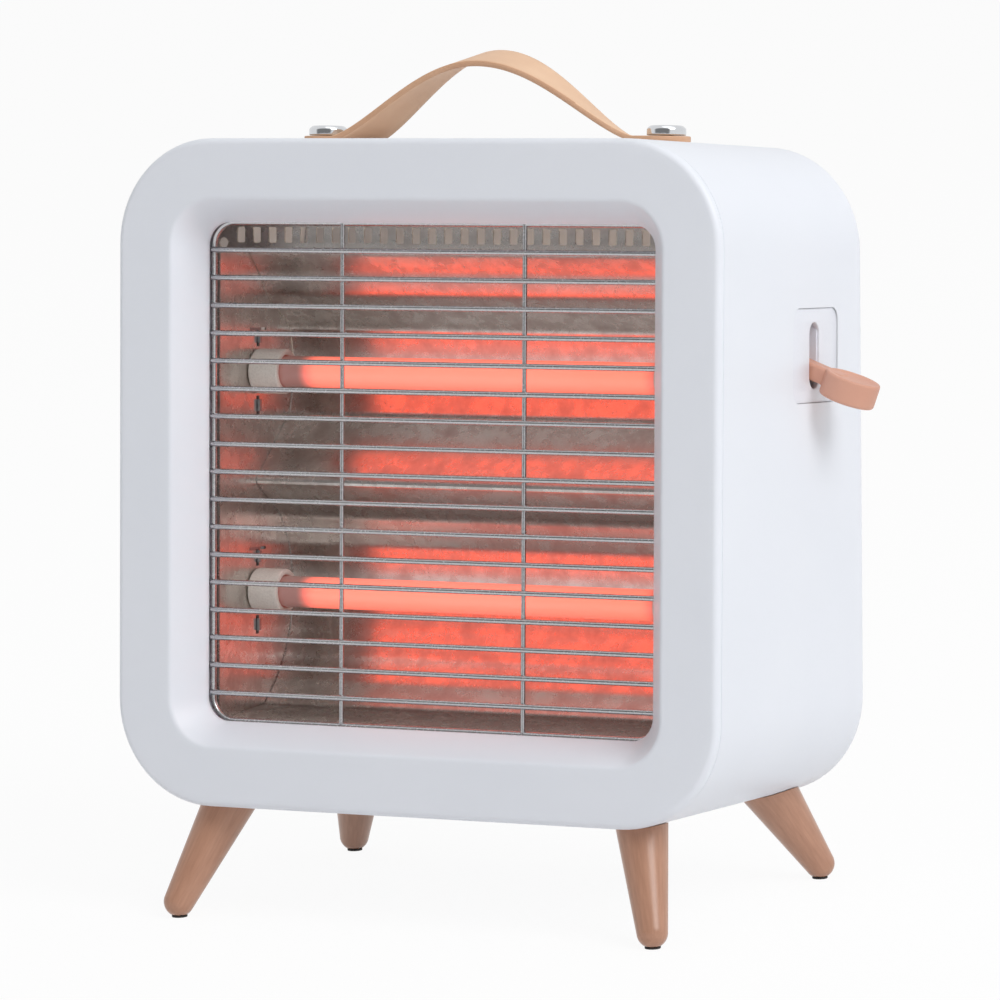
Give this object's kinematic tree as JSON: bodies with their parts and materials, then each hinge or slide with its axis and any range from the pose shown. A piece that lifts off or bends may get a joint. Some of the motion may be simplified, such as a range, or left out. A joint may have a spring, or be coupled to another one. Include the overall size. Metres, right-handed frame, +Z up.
{
  "type": "halogen heater",
  "caption": "Square room heater with round corners on splayed legs: glowing tubes in a folded reflector behind a wire grille, a side lever and a strap handle.",
  "frame": {"origin": "on the floor, under the middle of the overall box", "axes": "+Z up, -Y out of the front grille, +X towards the side with the lever"},
  "size_m": [0.3038, 0.1796, 0.3554],
  "materials": {
    "case_plastic": "moulded white plastic, satin",
    "control_plastic": "moulded off-white plastic, satin",
    "chrome_wire": "bright plated wire",
    "bright_sheet": "bright rolled sheet, folded",
    "hot_quartz": "quartz tube, glowing",
    "hot_coil": "resistance wire, glowing",
    "ceramic": "unglazed off-white ceramic",
    "spring_steel": "spring sheet",
    "tan_plastic": "moulded tan plastic, soft satin",
    "tan_strap": "smooth tan strap with plain cut edges",
    "chrome": "polished plating",
    "screw_steel": "zinc plated",
    "wood": "light close-grained wood, satin lacquer",
    "dark_rubber": "matte dark rubber",
    "dark_plastic": "moulded dark plastic",
    "lead_sleeving": "woven heatproof sleeving"
  },
  "bodies": {
    "case": {"front_fascia": "case_plastic", "body_shell": "case_plastic", "rear_cover": "case_plastic", "control_plate": "control_plastic", "wire_guard": "chrome_wire", "reflector": "bright_sheet", "reflector_end_left": "bright_sheet", "reflector_end_right": "bright_sheet", "quartz_tube_upper": "hot_quartz", "quartz_tube_lower": "hot_quartz", "heating_coil_upper": "hot_coil", "heating_coil_lower": "hot_coil", "ceramic_cap_upper_left": "ceramic", "ceramic_cap_upper_right": "ceramic", "ceramic_cap_lower_left": "ceramic", "ceramic_cap_lower_right": "ceramic", "cap_clip_upper_left": "spring_steel", "cap_clip_upper_right": "spring_steel", "cap_clip_lower_left": "spring_steel", "cap_clip_lower_right": "spring_steel", "handle_strap": "tan_strap", "strap_screw_left": "chrome", "strap_screw_right": "chrome", "strap_nut_left": "screw_steel", "strap_nut_right": "screw_steel", "leg_screw_front_left": "screw_steel", "leg_screw_front_right": "screw_steel", "leg_screw_rear_left": "screw_steel", "leg_screw_rear_right": "screw_steel", "cover_screw_upper_left": "screw_steel", "cover_screw_upper_right": "screw_steel", "cover_screw_lower_left": "screw_steel", "cover_screw_lower_right": "screw_steel", "leg_front_left": "wood", "leg_front_right": "wood", "leg_rear_left": "wood", "leg_rear_right": "wood", "foot_pad_front_left": "dark_rubber", "foot_pad_front_right": "dark_rubber", "foot_pad_rear_left": "dark_rubber", "foot_pad_rear_right": "dark_rubber", "cord_gland": "dark_rubber", "power_switch": "dark_plastic", "thermal_cutout": "dark_plastic", "terminal_block": "dark_plastic", "tip_switch_bracket": "dark_plastic", "tip_microswitch": "dark_plastic", "lead_caps_left": "lead_sleeving", "lead_cap_to_cutout": "lead_sleeving", "lead_cutout_to_terminal": "lead_sleeving", "lead_cap_to_terminal": "lead_sleeving", "lead_switch_to_terminal": "lead_sleeving"},
    "lever": {"control_lever": "tan_plastic", "switch_spindle": "dark_plastic"},
    "tip_pendulum": {"tip_switch_pendulum": "dark_plastic"}
  },
  "joints": [
    {"name": "lever_turn", "type": "hinge", "parent": "case", "child": "lever", "pos_m": [0.10506, 0.03479, 0.22792], "axis": [0, -0.9962, 0.0872], "range_deg": [0, 40]},
    {"name": "pendulum_swing", "type": "hinge", "parent": "case", "child": "tip_pendulum", "pos_m": [-0.05194, 0.04154, 0.06982], "axis": [0, 0.9962, -0.0872], "range_deg": [-25, 25]}
  ]
}
